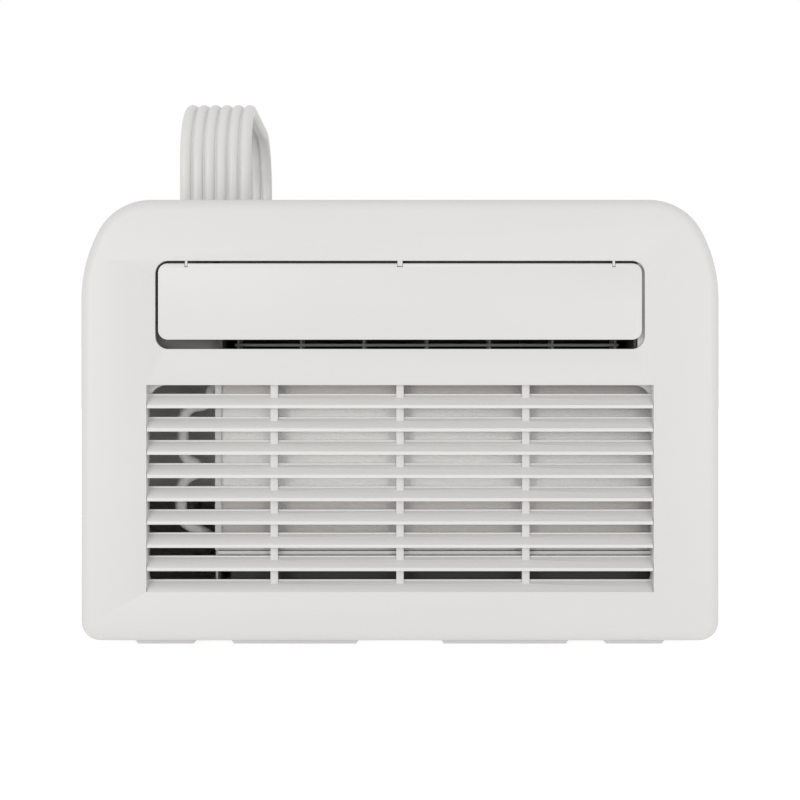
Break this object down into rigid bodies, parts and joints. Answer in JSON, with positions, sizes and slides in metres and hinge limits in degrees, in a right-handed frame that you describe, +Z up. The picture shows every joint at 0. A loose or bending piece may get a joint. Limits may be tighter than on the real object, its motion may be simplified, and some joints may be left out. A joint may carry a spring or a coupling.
{
  "type": "window air conditioner",
  "caption": "Saddle split window air conditioner: a rounded indoor unit with flap outlet and slatted intake, joined over the sill to an outdoor unit by a ribbed line band.",
  "frame": {"origin": "on the floor, at the middle of the whole assembly in width and depth", "axes": "+Z up, +X to the right seen from the room, -Y towards the room (the indoor unit's face), +Y outdoors"},
  "size_m": [0.48, 0.58, 0.448],
  "materials": {
    "shell": "fine satin moulded",
    "outdoor_shell": "satin powder coat",
    "grille": "fine satin moulded",
    "button": "satin",
    "filter_mesh": "fine net",
    "vane": "matt",
    "link_bar": "matt",
    "duct": "matt",
    "blower": "matt",
    "gear": "satin",
    "band": "soft gloss",
    "lagging": "foam skin",
    "copper": "dull copper",
    "fins": "mill",
    "steel": "zinc plated",
    "motor_steel": "pressed steel",
    "guard": "coated",
    "black_metal": "semi gloss",
    "rubber": "matt",
    "board": "solder mask",
    "lens": "gloss"
  },
  "bodies": {
    "cabinets": {"front_panel": "shell", "intake_grille": "grille", "flap_motor": "motor_steel", "vane_motor": "motor_steel", "outlet_duct": "duct", "blower_motor": "motor_steel", "blower_bearing": "rubber", "evaporator_fins": "fins", "evaporator_tubes": "copper", "drip_tray": "duct", "pipe_bay_wall": "grille", "junction_box": "duct", "control_box": "grille", "control_board": "board", "indoor_cabinet": "shell", "indoor_rear_cover": "shell", "indoor_feet": "shell", "display_window": "lens", "cord_gland": "rubber", "indoor_screws": "steel", "line_band": "band", "band_collars": "rubber", "suction_line": "lagging", "liquid_line": "copper", "outdoor_cabinet": "outdoor_shell", "outdoor_front_panel": "outdoor_shell", "outdoor_rear_panel": "outdoor_shell", "fan_guard": "guard", "outdoor_feet": "rubber", "compressor": "black_metal", "compressor_mounts": "rubber", "accumulator": "black_metal", "discharge_pipe": "copper", "capillary_tube": "copper", "condenser_fins": "fins", "condenser_tubes": "copper", "fan_shroud": "duct", "fan_motor": "motor_steel", "motor_bracket": "steel", "run_capacitor": "steel", "drain_outlet": "rubber", "outdoor_screws": "steel"},
    "flap": {"outlet_flap": "shell"},
    "pinion": {"flap_pinion": "gear"},
    "link_bar": {"vane_link_bar": "link_bar"},
    "blower": {"blower_wheel": "blower"},
    "fan": {"condenser_fan": "blower"},
    "filter": {"filter_frame": "grille", "filter_mesh": "filter_mesh"},
    "power_key": {"power_button": "button"},
    "mode_key": {"mode_button": "button"},
    "cooler_key": {"cooler_button": "button"},
    "warmer_key": {"warmer_button": "button"},
    "vane_1": {"vane_1": "vane"},
    "vane_2": {"vane_2": "vane"},
    "vane_3": {"vane_3": "vane"},
    "vane_4": {"vane_4": "vane"},
    "vane_5": {"vane_5": "vane"},
    "vane_6": {"vane_6": "vane"},
    "vane_7": {"vane_7": "vane"}
  },
  "joints": [
    {"name": "flap_tilt", "type": "hinge", "parent": "cabinets", "child": "flap", "pos_m": [0, -0.2882, 0.286], "axis": [-1, 0, 0], "range_deg": [0, 60]},
    {"name": "pinion_spin", "type": "hinge", "parent": "cabinets", "child": "pinion", "pos_m": [0.1735, -0.2722, 0.25829], "axis": [-1, 0, 0], "range_deg": [-260, 0]},
    {"name": "vane_1_swing", "type": "hinge", "parent": "cabinets", "child": "vane_1", "pos_m": [-0.1243, -0.244, 0.255], "axis": [0, 0, 1], "range_deg": [-30, 30]},
    {"name": "vane_2_swing", "type": "hinge", "parent": "cabinets", "child": "vane_2", "pos_m": [-0.076, -0.244, 0.255], "axis": [0, 0, 1], "range_deg": [-30, 30]},
    {"name": "vane_3_swing", "type": "hinge", "parent": "cabinets", "child": "vane_3", "pos_m": [-0.0277, -0.244, 0.255], "axis": [0, 0, 1], "range_deg": [-30, 30]},
    {"name": "vane_4_swing", "type": "hinge", "parent": "cabinets", "child": "vane_4", "pos_m": [0.0206, -0.244, 0.255], "axis": [0, 0, 1], "range_deg": [-30, 30]},
    {"name": "vane_5_swing", "type": "hinge", "parent": "cabinets", "child": "vane_5", "pos_m": [0.0689, -0.244, 0.255], "axis": [0, 0, 1], "range_deg": [-30, 30]},
    {"name": "vane_6_swing", "type": "hinge", "parent": "cabinets", "child": "vane_6", "pos_m": [0.1172, -0.244, 0.255], "axis": [0, 0, 1], "range_deg": [-30, 30]},
    {"name": "vane_7_swing", "type": "hinge", "parent": "cabinets", "child": "vane_7", "pos_m": [0.1655, -0.244, 0.255], "axis": [0, 0, 1], "range_deg": [-30, 30]},
    {"name": "link_bar_pivot", "type": "hinge", "parent": "vane_1", "child": "link_bar", "pos_m": [-0.1243, -0.256, 0.2272], "axis": [0, 0, 1], "range_deg": [-30, 30]},
    {"name": "blower_spin", "type": "hinge", "parent": "cabinets", "child": "blower", "pos_m": [0, -0.172, 0.232], "axis": [1, 0, 0], "continuous": true},
    {"name": "fan_spin", "type": "hinge", "parent": "cabinets", "child": "fan", "pos_m": [0.05, 0.25, 0.172], "axis": [0, 1, 0], "continuous": true},
    {"name": "filter_slide", "type": "slide", "parent": "cabinets", "child": "filter", "axis": [1, 0, 0], "range_m": [0, 0.34]},
    {"name": "power_press", "type": "slide", "parent": "cabinets", "child": "power_key", "axis": [0, 0, -1], "range_m": [0, 0.001], "stiffness_N_per_m": 200, "springref_m": -0.001},
    {"name": "mode_press", "type": "slide", "parent": "cabinets", "child": "mode_key", "axis": [0, 0, -1], "range_m": [0, 0.001], "stiffness_N_per_m": 200, "springref_m": -0.001},
    {"name": "cooler_press", "type": "slide", "parent": "cabinets", "child": "cooler_key", "axis": [0, 0, -1], "range_m": [0, 0.001], "stiffness_N_per_m": 200, "springref_m": -0.001},
    {"name": "warmer_press", "type": "slide", "parent": "cabinets", "child": "warmer_key", "axis": [0, 0, -1], "range_m": [0, 0.001], "stiffness_N_per_m": 200, "springref_m": -0.001}
  ],
  "couplings": [
    {"joint": "pinion_spin", "follows": "flap_tilt", "ratio": -4.3333},
    {"joint": "vane_2_swing", "follows": "vane_1_swing", "ratio": 1},
    {"joint": "vane_3_swing", "follows": "vane_1_swing", "ratio": 1},
    {"joint": "vane_4_swing", "follows": "vane_1_swing", "ratio": 1},
    {"joint": "vane_5_swing", "follows": "vane_1_swing", "ratio": 1},
    {"joint": "vane_6_swing", "follows": "vane_1_swing", "ratio": 1},
    {"joint": "vane_7_swing", "follows": "vane_1_swing", "ratio": 1},
    {"joint": "link_bar_pivot", "follows": "vane_1_swing", "ratio": -1}
  ]
}
